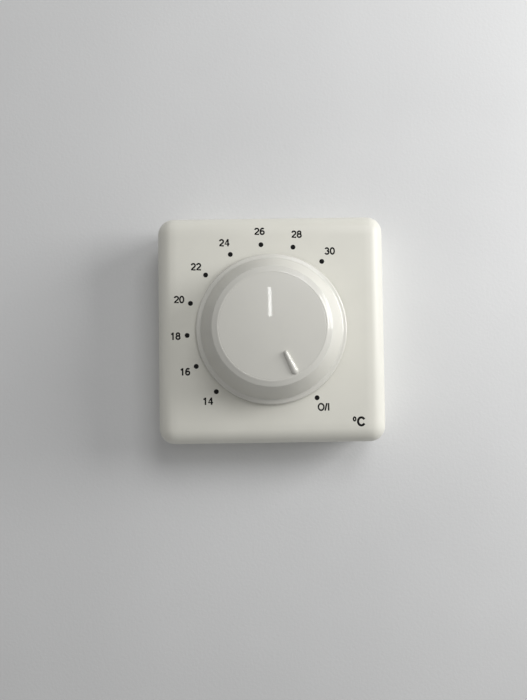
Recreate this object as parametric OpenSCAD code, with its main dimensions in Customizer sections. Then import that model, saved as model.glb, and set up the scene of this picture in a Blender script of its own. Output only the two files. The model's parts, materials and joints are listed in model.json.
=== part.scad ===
// Square surface-mounted wall thermostat with a round setting knob.
// Every sub-part is drawn with x to the right, y up and z out of the wall.
// place() then stands it up: the wall is the plane Y = 0 and the face looks towards -Y.

/* [Housing] */
// Width and height of the square front
face_w = 86; // [84:1:94]
// Height of the front face over the wall
case_depth = 24; // [24:0.5:30]
// Corner radius seen from the front
corner_r = 5.8; // [5.6:0.2:9]
// Radius of the rounded front edge
edge_r = 5.5; // [4:0.1:5.5]
// Wall thickness of the front cover
cover_t = 2; // [1.6:0.1:2]
// Thickness of the rear base's floor
base_t = 2; // [1.6:0.1:2.2]
// Height of the base's visible edge under the cover
ledge_h = 1.2; // [0.8:0.1:1.4]
// How far that edge stands in from the cover's side
ledge_inset = 0.6; // [0.3:0.1:1]
// Height of the base's rim over its floor
rim_h = 5; // [4:0.5:6]
// Thickness of that rim
rim_t = 1.4; // [1:0.1:1.6]
// Gap between the rim and the cover's skirt
cover_gap = 0.2; // [0.1:0.05:0.3]
// Length of each snap nib on the rim
nib_l = 10; // [6:1:14]
// Width of a vent slot
vent_w = 1.6; // [1.2:0.1:2]
// Length of a vent slot, along the depth
vent_l = 8; // [6:0.5:9]
// Distance between vent slots
vent_pitch = 5; // [4:0.5:5.5]
// Number of vent slots in the top and in the bottom side
vent_count = 9; // [5:1:11]

/* [Wall fixing] */
// Distance between the two wall screws
fix_pitch = 60; // [58:0.5:62]
// Radius of the wall screw holes
fix_hole_r = 2.2; // [1.8:0.1:2.5]
// Radius of the raised pad round each wall screw hole
fix_pad_r = 5; // [4:0.5:5.5]
// Height of that pad over the floor
fix_pad_h = 1.6; // [0.8:0.2:1.8]
// Width of the cable entry
entry_w = 30; // [20:1:34]
// Height of the cable entry
entry_h = 8.2; // [6:0.2:8.2]

/* [Knob] */
// Outer radius of the knob's foot flange
flange_r = 28.4; // [27.8:0.2:32]
// Thickness of the flange's rim
flange_t = 0.6; // [0.4:0.1:1]
// Gap between the flange and the front face
knob_gap = 0.6; // [0.4:0.1:1]
// Radius of the flank just above the flange
foot_r = 26.6; // [26:0.1:27]
// Height of the knob's top over the front face
knob_h = 17.5; // [16:0.5:22]
// Radius of the flank at the shoulder
shoulder_r = 20.9; // [20.5:0.1:23]
// Radius of the rounded shoulder
shoulder_round = 1.6; // [1:0.1:2]
// Wall thickness of the knob
knob_t = 1.8; // [1.4:0.1:2]
// Distance of the pointer's inner end from the axis
pointer_in_r = 9.5; // [8:0.5:12]
// Distance of the pointer's outer end from the axis
pointer_out_r = 18.4; // [16:0.1:18.6]
// Width of the pointer at its inner end
pointer_in_w = 1.7; // [1.2:0.1:2.2]
// Width of the pointer at its outer end
pointer_out_w = 2.8; // [2.2:0.1:3.4]
// Height of the pointer over the knob's top
pointer_h = 0.9; // [0.6:0.1:1.4]
// Direction of the pointer, anticlockwise from the right
pointer_angle = -64.3; // [-72:0.1:-57.4]
// Outer radius of the hub inside the knob
hub_r = 6.5; // [5.5:0.5:7.5]
// Thickness of the webs between hub and wall
web_t = 1.2; // [0.8:0.1:1.6]

/* [Shaft and cam] */
// Radius of the shaft in its bearing
shaft_r = 4; // [3.8:0.1:4.4]
// Radius of the shaft's end in the knob
shaft_end_r = 3; // [2.6:0.1:3.2]
// Radius of the shaft's foot in the potentiometer
shaft_foot_r = 1.95; // [1.6:0.05:2]
// Distance of the shaft's flats from its axis, as a share of the radius
flat_share = 0.65; // [0.55:0.05:0.8]
// Running clearance round the shaft
bearing_gap = 0.05; // [0.02:0.01:0.1]
// Outer radius of the bearing collar on the cover
collar_r = 7.5; // [6.5:0.5:9]
// Height of the bearing collar over the front face
collar_h = 6; // [4:0.5:8]
// Radius of the cam disc
cam_r = 15.2; // [15:0.1:15.4]
// Thickness of the cam disc
cam_t = 1.3; // [1:0.1:1.5]
// Height of the cam's lobe
lobe_h = 0.6; // [0.4:0.1:0.8]
// Thickness of the knob's spring clip
clip_t = 0.4; // [0.3:0.05:0.5]

/* [Circuit board] */
// Width of the board
board_w = 74; // [73:1:76]
// Height of the board
board_h = 67; // [65:1:68]
// Thickness of the board
board_t = 1.6; // [1:0.2:1.6]
// Height of the standoffs that carry the board
standoff_h = 2.4; // [2.2:0.1:2.4]
// Distance of the board screws from the board's edges
board_screw_in = 4; // [3.5:0.1:4.2]
// Radius of the board screws
board_screw_r = 0.85; // [0.7:0.05:1]
// Radius of the wire leads
lead_r = 0.35; // [0.25:0.05:0.4]
// Clearance of a lead in its hole
lead_gap = 0.1; // [0.05:0.01:0.15]
// Length of the leads under the board
lead_tail = 1.4; // [1:0.1:1.6]

/* [Potentiometer] */
// Width of the potentiometer
pot_w = 15; // [14.6:0.1:15.6]
// Height of the potentiometer over the board
pot_h = 6; // [5.6:0.1:6.4]
// Thickness of its track plate
track_plate_t = 1.2; // [0.8:0.1:1.4]
// Mean radius of its resistance track
track_r = 5.2; // [4.8:0.1:5.4]

/* [Mains switch] */
// Length of the switch case
switch_l = 19.8; // [19.4:0.1:20.4]
// Thickness of the switch with its lid
switch_w = 6.4; // [6.2:0.1:6.8]
// Air between the cam disc and the front cover
cam_headroom = 0.93; // [0.6:0.01:2]
// Thickness of the switch lid
switch_lid_t = 1.2; // [1:0.1:1.4]
// Travel of the switch lever in degrees
lever_travel = 5; // [4:0.2:5]
// Radius of the switch plunger
plunger_r = 0.9; // [0.8:0.05:1]

/* [Relay] */
// Length of the relay
relay_l = 19; // [18.8:0.1:19.4]
// Width of the relay
relay_w = 15.5; // [15.2:0.1:15.8]
// Air between the relay and the front cover
relay_headroom = 0.6; // [0.3:0.1:2]
// Radius of the coil's winding
coil_r = 4.9; // [4.5:0.1:5]
// Travel of the armature in degrees
armature_travel = 3; // [2.5:0.1:3]

/* [Terminals] */
// Number of terminals
poles = 6; // [4:1:6]
// Distance between terminals
pole_pitch = 5; // [4.8:0.1:5]
// Depth of the terminal block
block_d = 10; // [9.6:0.1:10.2]
// Height of the terminal block over the board
block_h = 10.5; // [10:0.1:12]

/* [Hidden] */
$fn = 64;

// A cut reaches this far past the face that it opens
cut = 1;
// Air between faces of moving and fixed pieces
air = 0.3;
// Air between a contact and the face that it meets
touch = 0.05;

// Levels over the wall
skirt_z = ledge_h;
board_z = base_t + standoff_h;
board_top = board_z + board_t;
lead_z = board_z - lead_tail;
cover_in_z = case_depth - cover_t;
collar_top = case_depth + collar_h;
knob_z = case_depth + knob_gap;
knob_top = case_depth + knob_h;
hub_z = collar_top + air;
shaft_top = knob_top - knob_t - air;

// Half widths of the housing
cover_in = face_w / 2 - cover_t;
rim_out = cover_in - cover_gap;
rim_in = rim_out - rim_t;

// Places of the snap nibs and vents
nib_z = base_t + rim_h - 2;
nib_h = 1.2;
nib_d = 0.8;
vent_z = base_t + rim_h + 1.5;

// The board's lower edge leaves room for the cable entry
board_low = -30;
board_high = board_low + board_h;
board_screw_x = board_w / 2 - board_screw_in;
board_screws_xy = [
  for (x = [-board_screw_x, board_screw_x], y = [board_low + board_screw_in, board_high - board_screw_in])
    [x, y]
];
access_r = 4.5;

// The cover screw stands outside the cam, under the knob
cover_screw_r = 1.3;
cover_head_r = 2.8;
cover_head_h = 1.8;
cover_boss_r = 4.2;
cover_boss_h = 7;
cover_boss_z = board_top + cover_boss_h;
cover_boss_gap = 0.7;
cover_screw_seat = cover_in_z - cover_t;
cover_screw_at = (cam_r + cover_boss_r + cover_boss_gap) * [cos(-45), sin(-45)];

// Potentiometer
pot_floor_z = board_top + track_plate_t;
pot_top = board_top + pot_h;
track_w = 1.8;
track_t = 0.1;
rotor_r = track_r + 1.1;
rotor_collar_r = 3.25;
rotor_z = pot_floor_z + 1;
rotor_top = pot_top - 1.1;
rotor_collar_top = pot_top + 0.4;
pot_pins_xy = [for (x = [-5, 0, 5]) [x, -pot_w / 2 + 1.2]];

// Mains switch
switch_gap = 2.1;
switch_y = pot_w / 2 + switch_gap;
switch_wall = 1.2;
switch_mid_y = switch_y + (switch_w - switch_lid_t) / 2;
lever_w = 3;
lever_t = 0.3;
lever_pin_r = 0.5;
lever_barrel_r = 0.8;
lever_x = -switch_l / 2 + 1.6;
lever_l = 16.3;
lever_rise = lever_l * sin(lever_travel) + lever_t / 2;
lever_z = cover_in_z - cam_headroom - cam_t - lobe_h - air - lever_rise;
switch_top = lever_z - lever_barrel_r - air;
plunger_out = 5.4;
plunger_x = lever_x + plunger_out;
plunger_top = lever_z - lever_t / 2 + (plunger_x - plunger_r - lever_x) * tan(lever_travel) - touch;
blade_drop = 5;
blade_z = switch_top - blade_drop;
blade_t = 0.25;
blade_x = lever_x + 1;
blade_l = 14.5;
blade_w = 2;
contact_r = 0.9;
contact_h = 0.6;
contact_in = 1.7;
contact_x = blade_x + blade_l - contact_in;
contact_travel = 0.5;
plunger_pretravel = 0.4;
upper_contact_out = 2.8;
switch_pins_xy = [for (x = [blade_x + 0.5, contact_x, contact_x + upper_contact_out]) [x, switch_mid_y]];

// Cam
cam_z = lever_z + lever_rise + air + lobe_h;
lobe_in_r = switch_y + 2;
lobe_out_r = cam_r - 0.6;
lobe_lag = 7;
lobe_angle = atan2(switch_mid_y, lever_x + lever_l - 1) - lobe_lag;
lobe_spread = 24;

// Relay
relay_side_gap = 1.5;
relay_low_gap = 7.8;
relay_x = -board_w / 2 + relay_side_gap + relay_l / 2;
relay_y = board_low + relay_low_gap + relay_w / 2;
relay_top = cover_in_z - relay_headroom;
relay_base_t = 1.4;
relay_wall = 0.8;
core_x = relay_x - 2;
core_r = 2;
pole_r = 3.6;
yoke_t = 1.2;
yoke_w = 8;
bobbin_t = 0.7;
bobbin_z = board_top + relay_base_t + air + yoke_t;
armature_t = 1;
rivet_out = 0.8;
relay_strip_t = 0.3;
strip_seat = 0.1;
armature_z = relay_top - relay_wall - 2 * touch - relay_strip_t - strip_seat - rivet_out - armature_t;
pole_t = 0.7;
pole_gap = 0.6;
pole_z = armature_z - pole_gap - pole_t;
yoke_leg_x = core_x + coil_r + bobbin_t;
armature_w = 7.6;
armature_end_x = core_x - 4.4;
armature_pivot_x = yoke_leg_x + yoke_t / 2;
relay_contact_x = core_x - 5.7;
relay_rivet_r = 0.9;
relay_rivet_z = armature_z + 0.3;
relay_rivet_top = armature_z + armature_t + rivet_out;
relay_gap_closed = 0.08;
relay_throw = (armature_pivot_x - relay_contact_x) * sin(armature_travel);
relay_strip_x = relay_x - relay_l / 2 + relay_wall + touch;
relay_pins_xy = [
  [relay_strip_x + 0.4, relay_y], [relay_strip_x + 0.4, relay_y + 3.2],
  [armature_pivot_x, relay_y], [relay_x + 7, relay_y - 5.5], [relay_x + 7, relay_y + 5.5]
];

// Terminal block
block_l = poles * pole_pitch + 0.6;
block_y = board_low;
cage_w = 3.6;
cage_wall = 0.5;
cage_z = board_top + 1;
cage_h = 4.8;
cage_d = block_d - 3;
cage_y = block_y + 1;
terminal_screw_y = cage_y + cage_d / 2;
terminal_screw_r = 1.2;
terminal_head_r = 1.7;
poles_x = [for (i = [0 : poles - 1]) (i - (poles - 1) / 2) * pole_pitch];
terminal_pins_xy = [for (x = poles_x) [x, terminal_screw_y]];

// Parts on the board
film_headroom = 2;
film_side_gap = 2.5;
film_size = [18, 8.5, cover_in_z - film_headroom - board_top];
film_at = [board_w / 2 - film_side_gap - film_size.x / 2, 12.2];
film_pins_xy = [for (s = [-7.5, 7.5]) film_at + [s, 0]];
electrolytic_r = 4;
electrolytic_h = 12;
electrolytic_at = [24, -9.6];
electrolytic_pins_xy = [for (s = [-1.75, 1.75]) electrolytic_at + [s, 0]];
varistor_r = 4.4;
varistor_t = 3.4;
varistor_side_gap = 0.4;
varistor_at = [board_w / 2 - varistor_side_gap - varistor_r, -15.5];
varistor_pins_xy = [for (s = [-2.5, 2.5]) varistor_at + [s, 0]];
fuse_r = 4.1;
fuse_h = 7.6;
fuse_at = [23.6, -20.3];
fuse_pins_xy = [for (s = [-2.5, 2.5]) fuse_at + [s, 0]];
diode_r = 1.35;
diode_l = 5.2;
diode_pitch = 4;
diodes_at = [for (i = [0 : 3]) [-22, 10 + diode_pitch * i]];
resistor_r = 1.2;
resistor_l = 6.4;
resistor_pitch = 4.2;
axial_span = 10;
upper_row_y = board_high - axial_span / 2 - 5;
resistors_at = [for (i = [0 : 5]) [-12 + resistor_pitch * i, upper_row_y]];
diode_pins_xy = [for (p = diodes_at, s = [-1, 1]) p + [s * axial_span / 2, 0]];
resistor_pins_xy = [for (p = resistors_at, s = [-1, 1]) p + [0, s * axial_span / 2]];
ic_size = [9.4, 6.4, 3.4];
ic_at = [20.5, upper_row_y];
ic_pitch = 2.54;
ic_row = 7.62;
ic_pins_xy = [for (i = [-1.5 : 1.5], s = [-1, 1]) ic_at + [i * ic_pitch, s * ic_row / 2]];
transistor_r = 2.3;
transistor_h = 4.6;
transistor_pin_pitch = 1.5;
transistor_at = [31.5, 23];
transistor_pins_xy = [for (i = [-1, 0, 1]) transistor_at + [i * transistor_pin_pitch, 0.4]];
sensor_r = 1.3;
sensor_stand = 5;
sensor_at = [20.5, -27.6];
sensor_pins_xy = [for (s = [-0.8, 0.8]) sensor_at + [s, 0]];

leads_xy = concat(
  pot_pins_xy, switch_pins_xy, relay_pins_xy, terminal_pins_xy, film_pins_xy, electrolytic_pins_xy,
  varistor_pins_xy, fuse_pins_xy, diode_pins_xy, resistor_pins_xy, ic_pins_xy, transistor_pins_xy,
  sensor_pins_xy
);

// ---- Shared shapes ----

// Stands a piece up against the wall
module place() {
  rotate([90, 0, 0]) children();
}

// Flat square with rounded corners, given by its half width
module rounded_square(half, r) {
  square([2 * half, 2 * (half - r)], center = true);
  square([2 * (half - r), 2 * half], center = true);
  for (x = [r - half, half - r], y = [r - half, half - r]) translate([x, y]) circle(r);
}

// Upright slab with rounded corners between two levels
module slab(half, r, low, high) {
  translate([0, 0, low]) linear_extrude(high - low) rounded_square(half, r);
}

// Square block whose front edge is rounded as well: two crossed bars and four turned corners
module soft_block(half, r, round, low, high) {
  straight = half - r;
  arc = [for (a = [0 : 11.25 : 90]) [round * cos(a) - round, high - round * (1 - sin(a))]];
  section = concat(
    [[-half, low], [half, low]],
    [for (p = arc) [half + p.x, p.y]],
    [for (i = [len(arc) - 1 : -1 : 0]) [-half - arc[i].x, arc[i].y]]
  );
  corner = concat([[0, low], [r, low]], [for (p = arc) [r + p.x, p.y]], [[0, high]]);
  for (a = [0, 90]) {
    rotate([90, 0, a]) translate([0, 0, -straight]) linear_extrude(2 * straight) polygon(section);
  }
  for (x = [-straight, straight], y = [-straight, straight]) {
    translate([x, y]) rotate_extrude() polygon(corner);
  }
}

// Cylinder between two levels
module rod(at, r, low, high) {
  translate([at.x, at.y, low]) cylinder(r = r, h = high - low);
}

// Box from its centre in plan, its size in plan and two levels
module block(at, size, low, high) {
  translate([at.x - size.x / 2, at.y - size.y / 2, low]) cube([size.x, size.y, high - low]);
}

// Cylinder with a flat on the side that the pointer shows
module flatted_rod(r, low, high, flat) {
  difference() {
    rod([0, 0], r, low, high);
    rotate([0, 0, pointer_angle]) {
      translate([flat, -r - cut, low - cut]) cube([2 * r, 2 * (r + cut), high - low + 2 * cut]);
    }
  }
}

// The leads at the given places, from under the board up to a level
module leads(places, r, high) {
  for (p = places) rod(p, r, lead_z, high);
}

// Wire leads of a part that lies along x or y and is bent down at both ends
module axial_part(at, along, r, length) {
  height = board_top + r + touch;
  translate([at.x, at.y, height]) rotate([0, 90, along]) {
    cylinder(r = r, h = length, center = true);
    cylinder(r = 0.8 * lead_r, h = axial_span, center = true);
  }
  for (s = [-1, 1]) {
    rod(at + s * axial_span / 2 * [cos(along), sin(along)], lead_r, lead_z, height + lead_r);
  }
}

// ---- Housing ----

module front_cover() {
  color("ivory") place() {
    difference() {
      union() {
        difference() {
          soft_block(face_w / 2, corner_r, edge_r, skirt_z, case_depth);
          soft_block(cover_in, corner_r - cover_t, edge_r - cover_t, skirt_z - cut, cover_in_z);
          vent_slots();
          snap_pockets();
        }
        rod([0, 0], collar_r, cover_in_z, collar_top);
        rod(cover_screw_at, cover_boss_r, cover_boss_z, case_depth - cover_t / 2);
      }
      rod([0, 0], shaft_r + bearing_gap, cover_in_z - cut, collar_top + cut);
      rod(cover_screw_at, cover_screw_r + air, cover_boss_z - cut, case_depth + cut);
      rod(cover_screw_at, cover_head_r + air, cover_screw_seat, case_depth + cut);
    }
  }
}

module vent_slots() {
  for (i = [0 : vent_count - 1]) {
    block([(i - (vent_count - 1) / 2) * vent_pitch, 0], [vent_w, face_w + cut], vent_z, vent_z + vent_l);
  }
}

module snap_pockets() {
  for (a = [0 : 90 : 270]) {
    rotate([0, 0, a]) {
      block([cover_in, 0], [2 * (nib_d + cover_gap), nib_l + 2 * air], nib_z - air, nib_z + nib_h + air);
    }
  }
}

module rear_base() {
  color("whitesmoke") place() {
    difference() {
      union() {
        slab(face_w / 2 - ledge_inset, corner_r - ledge_inset, 0, ledge_h);
        slab(rim_out, corner_r - cover_t - cover_gap, 0, base_t);
        difference() {
          slab(rim_out, corner_r - cover_t - cover_gap, 0, base_t + rim_h);
          slab(rim_in, corner_r - cover_t - cover_gap - rim_t, base_t, base_t + rim_h + cut);
        }
        for (a = [0 : 90 : 270]) {
          rotate([0, 0, a]) block([rim_out - rim_t / 2, 0], [rim_t + 2 * nib_d, nib_l], nib_z, nib_z + nib_h);
        }
        for (p = board_screws_xy) rod(p, 3, base_t, board_z);
        for (s = [-1, 1]) rod([s * fix_pitch / 2, 0], fix_pad_r, 0, base_t + fix_pad_h);
        rod(cover_screw_at, cover_boss_r, 0, cover_boss_z);
      }
      for (a = [0 : 90 : 270]) {
        rotate([0, 0, a]) block([rim_in - nib_d, 0], [2 * nib_d, nib_l + 2], base_t + air, base_t + rim_h + cut);
      }
      for (p = board_screws_xy) rod(p, board_screw_r + touch, base_t - 0.8, board_z + cut);
      for (s = [-1, 1]) rod([s * fix_pitch / 2, 0], fix_hole_r, -cut, base_t + fix_pad_h + cut);
      rod(cover_screw_at, cover_screw_r + touch, base_t, cover_boss_z + cut);
      block([0, -rim_in + air + entry_h / 2], [entry_w, entry_h], -cut, base_t + rim_h + cut);
    }
  }
}

module cover_screw() {
  color("silver") place() {
    difference() {
      union() {
        rod(cover_screw_at, cover_screw_r, base_t + 2, cover_screw_seat);
        rod(cover_screw_at, cover_head_r, cover_screw_seat, cover_screw_seat + cover_head_h);
      }
      screw_cross(cover_screw_at, cover_head_r, cover_screw_seat + cover_head_h);
    }
  }
}

// Cross recess in a screw head whose top is at the given level
module screw_cross(at, head_r, top) {
  block(at, [1.2 * head_r, 0.3 * head_r], top - 0.4 * head_r, top + cut);
  block(at, [0.3 * head_r, 1.2 * head_r], top - 0.4 * head_r, top + cut);
}

// ---- Knob, shaft and cam ----

// Outline of the knob from the flange up, turned about its axis
function knob_outline() = let (
  flare = foot_r - flange_r,
  flare_h = 1.4,
  flange_top = knob_z + flange_t,
  centre_r = shoulder_r - shoulder_round
) concat(
  [[0, knob_z], [flange_r, knob_z], [flange_r, flange_top]],
  [for (a = [22.5 : 22.5 : 90]) [flange_r + flare * sin(a), flange_top + flare_h * (1 - cos(a))]],
  [for (a = [0 : 22.5 : 90]) [
    centre_r + shoulder_round * cos(a), knob_top - shoulder_round * (1 - sin(a))
  ]],
  [[0, knob_top]]
);

module knob() {
  color("gainsboro") place() {
    difference() {
      union() {
        difference() {
          rotate_extrude($fn = 96) polygon(knob_outline());
          translate([0, 0, knob_z - cut]) knob_hollow();
        }
        rod([0, 0], hub_r, hub_z, knob_top - knob_t / 2);
        for (a = [45 : 90 : 315]) rotate([0, 0, pointer_angle + a]) knob_web();
        pointer();
      }
      flatted_rod(shaft_end_r + bearing_gap, hub_z - cut, shaft_top + air / 2, flat_share * shaft_end_r + clip_t);
    }
  }
}

module knob_hollow() {
  low_r = foot_r - knob_t;
  high_r = shoulder_r - knob_t;
  height = knob_top - knob_t - knob_z + cut;
  cylinder(r1 = low_r, r2 = high_r, h = height);
}

// Thin wall between the hub and the knob's flank
module knob_web() {
  inner = hub_r - 0.5;
  outer = shoulder_r - knob_t + 0.5;
  low = knob_top - knob_t - 5;
  translate([inner, -web_t / 2, low]) cube([outer - inner, web_t, knob_top - knob_t / 2 - low]);
}

// Raised pointer that widens outwards
module pointer() {
  in_r = pointer_in_w / 2;
  out_r = pointer_out_w / 2;
  base = knob_top - knob_t / 2;
  edge = pointer_h / 2;
  rotate([0, 0, pointer_angle]) {
    hull() {
      translate([pointer_in_r + in_r, 0, base]) cylinder(r = in_r, h = knob_top + pointer_h - edge - base, $fn = 32);
      translate([pointer_out_r - out_r, 0, base]) cylinder(r = out_r, h = knob_top + pointer_h - edge - base, $fn = 32);
      translate([pointer_in_r + in_r, 0, base]) cylinder(r = in_r - edge, h = knob_top + pointer_h - base, $fn = 32);
      translate([pointer_out_r - out_r, 0, base]) cylinder(r = out_r - edge, h = knob_top + pointer_h - base, $fn = 32);
    }
  }
}

module knob_spring_clip() {
  flat = flat_share * shaft_end_r;
  clip_w = 3.2;
  color("silver") place() rotate([0, 0, pointer_angle]) {
    translate([flat, -clip_w / 2, hub_z]) cube([clip_t - 0.02, clip_w, shaft_top - hub_z]);
  }
}

module knob_shaft() {
  seat_h = 1.2;
  color("white") place() {
    flatted_rod(shaft_foot_r, rotor_z - air, rotor_collar_top + 0.1, flat_share * shaft_foot_r);
    rod([0, 0], shaft_r - 0.6, rotor_collar_top + 0.1, cam_z - seat_h);
    rod([0, 0], shaft_r + 1.4, cam_z - seat_h, cam_z);
    rod([0, 0], shaft_r, cam_z, collar_top + air);
    flatted_rod(shaft_end_r, collar_top + air, shaft_top, flat_share * shaft_end_r);
  }
}

module switch_cam() {
  color("gold") place() {
    difference() {
      union() {
        rod([0, 0], cam_r, cam_z, cam_z + cam_t);
        cam_lobe();
      }
      rod([0, 0], shaft_r + 0.02, cam_z - cut, cam_z + cam_t + cut);
      for (a = [60 : 60 : 240]) {
        rotate([0, 0, lobe_angle + a]) rod([cam_r * 0.62, 0], 2.4, cam_z - cut, cam_z + cam_t + cut);
      }
    }
  }
}

// Raised arc under the cam disc
module cam_lobe() {
  half = lobe_spread / 2;
  rotate([0, 0, lobe_angle]) intersection() {
    difference() {
      rod([0, 0], lobe_out_r, cam_z - lobe_h, cam_z + cam_t / 2);
      rod([0, 0], lobe_in_r, cam_z - lobe_h - cut, cam_z + cam_t);
    }
    translate([0, 0, cam_z - lobe_h - cut]) linear_extrude(lobe_h + cam_t + cut) polygon([
      [0, 0], [2 * cam_r, -2 * cam_r * tan(half)], [2 * cam_r, 2 * cam_r * tan(half)]
    ]);
  }
}

// ---- Circuit board ----

module circuit_board() {
  mid_y = (board_low + board_high) / 2;
  color("darkgreen") place() {
    difference() {
      block([0, mid_y], [board_w, board_h], board_z, board_top);
      for (p = board_screws_xy) rod(p, board_screw_r + 0.4, board_z - cut, board_top + cut);
      for (s = [-1, 1]) rod([s * fix_pitch / 2, 0], access_r, board_z - cut, board_top + cut);
      rod(cover_screw_at, cover_boss_r + air, board_z - cut, board_top + cut);
      for (p = leads_xy) rod(p, lead_r + lead_gap, board_z - cut, board_top + cut);
    }
  }
}

module board_screws() {
  head_r = 2;
  head_h = 1.3;
  color("silver") place() {
    for (p = board_screws_xy) {
      difference() {
        union() {
          rod(p, board_screw_r, base_t - 0.6, board_top);
          rod(p, head_r, board_top, board_top + head_h);
        }
        screw_cross(p, head_r, board_top + head_h);
      }
    }
  }
}

// ---- Potentiometer ----

module pot_housing() {
  color("dimgray") place() {
    difference() {
      block([0, 0], [pot_w, pot_w], pot_floor_z, pot_top);
      rod([0, 0], rotor_r + air, pot_floor_z - cut, rotor_top + air);
      rod([0, 0], rotor_collar_r + bearing_gap, pot_floor_z - cut, pot_top + cut);
    }
  }
}

module pot_track_plate() {
  color("saddlebrown") place() {
    difference() {
      block([0, 0], [pot_w, pot_w], board_top, pot_floor_z);
      rod([0, 0], shaft_foot_r + air, board_top - cut, pot_floor_z + cut);
    }
  }
}

module pot_track() {
  color("black") place() {
    difference() {
      rod([0, 0], track_r + track_w / 2, pot_floor_z, pot_floor_z + track_t);
      rod([0, 0], track_r - track_w / 2, pot_floor_z - cut, pot_floor_z + track_t + cut);
      block([0, -track_r], [4, 2 * track_r], pot_floor_z - cut, pot_floor_z + track_t + cut);
    }
  }
}

module pot_rotor() {
  color("white") place() {
    difference() {
      union() {
        rod([0, 0], rotor_r, rotor_z, rotor_top);
        rod([0, 0], rotor_collar_r, rotor_z, rotor_collar_top);
      }
      flatted_rod(shaft_foot_r + bearing_gap, rotor_z - cut, rotor_collar_top + cut, flat_share * shaft_foot_r + touch);
    }
  }
}

module pot_wiper() {
  arm_t = 0.25;
  arm_w = 1.2;
  low = rotor_z - arm_t;
  color("goldenrod") place() rotate([0, 0, pointer_angle + 180]) {
    difference() {
      union() {
        rod([0, 0], 3.4, low, rotor_z);
        translate([0, -arm_w / 2, low]) cube([track_r + 0.5, arm_w, arm_t]);
        rod([track_r, 0], 0.5, pot_floor_z + track_t + touch, rotor_z);
      }
      rod([0, 0], shaft_foot_r + air, low - cut, rotor_z + cut);
    }
  }
}

module pot_terminals() {
  color("silver") place() leads(pot_pins_xy, lead_r, board_top);
}

// ---- Mains switch ----

module switch_case() {
  depth = switch_w - switch_lid_t;
  hole_r = plunger_r + bearing_gap;
  color("darkred") place() {
    difference() {
      union() {
        translate([-switch_l / 2, switch_y, board_top]) cube([switch_l, depth, switch_top - board_top]);
        for (s = [-1, 1]) lever_ear(s);
      }
      translate([-switch_l / 2 + switch_wall, switch_y + switch_wall, board_top + switch_wall]) {
        cube([switch_l - 2 * switch_wall, depth, switch_top - board_top - 2 * switch_wall]);
      }
      rod([plunger_x, switch_mid_y], hole_r, switch_top - switch_wall - cut, switch_top + cut);
      lever_axle(lever_pin_r + bearing_gap, lever_w + 4);
      for (p = switch_pins_xy) rod(p, lead_r + lead_gap, board_top - cut, board_top + switch_wall + cut);
    }
  }
}

// Small upright ear that carries one end of the lever's pin
module lever_ear(side) {
  ear_t = 0.6;
  ear_w = 2.2;
  y = switch_mid_y + side * (lever_w / 2 + 0.1 + ear_t / 2);
  block([lever_x, y], [ear_w, ear_t], switch_top - 0.5, lever_z + 1);
}

// Pin shape along the lever's hinge line
module lever_axle(r, length) {
  translate([lever_x, switch_mid_y, lever_z]) rotate([90, 0, 0]) cylinder(r = r, h = length, center = true);
}

module switch_lid() {
  color("firebrick") place() {
    translate([-switch_l / 2, switch_y + switch_w - switch_lid_t, board_top]) {
      cube([switch_l, switch_lid_t, switch_top - board_top]);
    }
  }
}

module switch_lever() {
  color("silver") place() {
    lever_axle(lever_pin_r, lever_w + 1.4);
    lever_axle(lever_barrel_r, lever_w);
    translate([lever_x, switch_mid_y - lever_w / 2, lever_z]) {
      rotate([0, -lever_travel, 0]) translate([0, 0, -lever_t / 2]) cube([lever_l, lever_w, lever_t]);
    }
  }
}

module switch_plunger() {
  at = [plunger_x, switch_mid_y];
  stop_top = switch_top - switch_wall - touch;
  color("white") place() {
    rod(at, plunger_r, blade_z + blade_t + plunger_pretravel, plunger_top);
    rod(at, plunger_r + 0.5, stop_top - 0.8, stop_top);
  }
}

module switch_blade() {
  color("goldenrod") place() {
    block([blade_x + blade_l / 2, switch_mid_y], [blade_l, blade_w], blade_z, blade_z + blade_t);
    rod([contact_x, switch_mid_y], contact_r, blade_z - contact_h, blade_z + blade_t + contact_h);
  }
}

module switch_contacts() {
  floor_z = board_top + switch_wall;
  post_w = 1;
  upper_z = blade_z + blade_t + contact_h + touch;
  upper_x = switch_pins_xy[2].x;
  color("goldenrod") place() {
    block([blade_x + post_w / 2, switch_mid_y], [post_w, blade_w], floor_z, blade_z - touch);
    rod([contact_x, switch_mid_y], contact_r, floor_z, blade_z - contact_h - contact_travel - touch);
    block([upper_x, switch_mid_y], [0.8, blade_w], floor_z, upper_z + 0.4);
    translate([contact_x - contact_r, switch_mid_y - blade_w / 2, upper_z]) {
      cube([upper_x + 0.4 - contact_x + contact_r, blade_w, 0.4]);
    }
  }
}

module switch_terminals() {
  color("silver") place() leads(switch_pins_xy, lead_r, board_top + switch_wall);
}

// ---- Relay ----

module relay_base() {
  color("black") place() {
    difference() {
      block([relay_x, relay_y], [relay_l, relay_w], board_top, board_top + relay_base_t);
      for (p = relay_pins_xy) rod(p, lead_r + lead_gap, board_top - cut, board_top + relay_base_t + cut);
    }
  }
}

module relay_case() {
  low = board_top + relay_base_t;
  inner = [relay_l - 2 * relay_wall, relay_w - 2 * relay_wall];
  color("steelblue") place() {
    difference() {
      block([relay_x, relay_y], [relay_l, relay_w], low, relay_top);
      block([relay_x, relay_y], inner, low - cut, relay_top - relay_wall);
    }
  }
}

module relay_bobbin() {
  at = [core_x, relay_y];
  color("ivory") place() {
    difference() {
      union() {
        rod(at, core_r + 0.7, bobbin_z, pole_z);
        rod(at, coil_r + 0.3, bobbin_z, bobbin_z + bobbin_t);
        rod(at, coil_r + 0.3, pole_z - bobbin_t, pole_z);
      }
      rod(at, core_r + touch, bobbin_z - cut, pole_z + cut);
    }
  }
}

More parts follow.
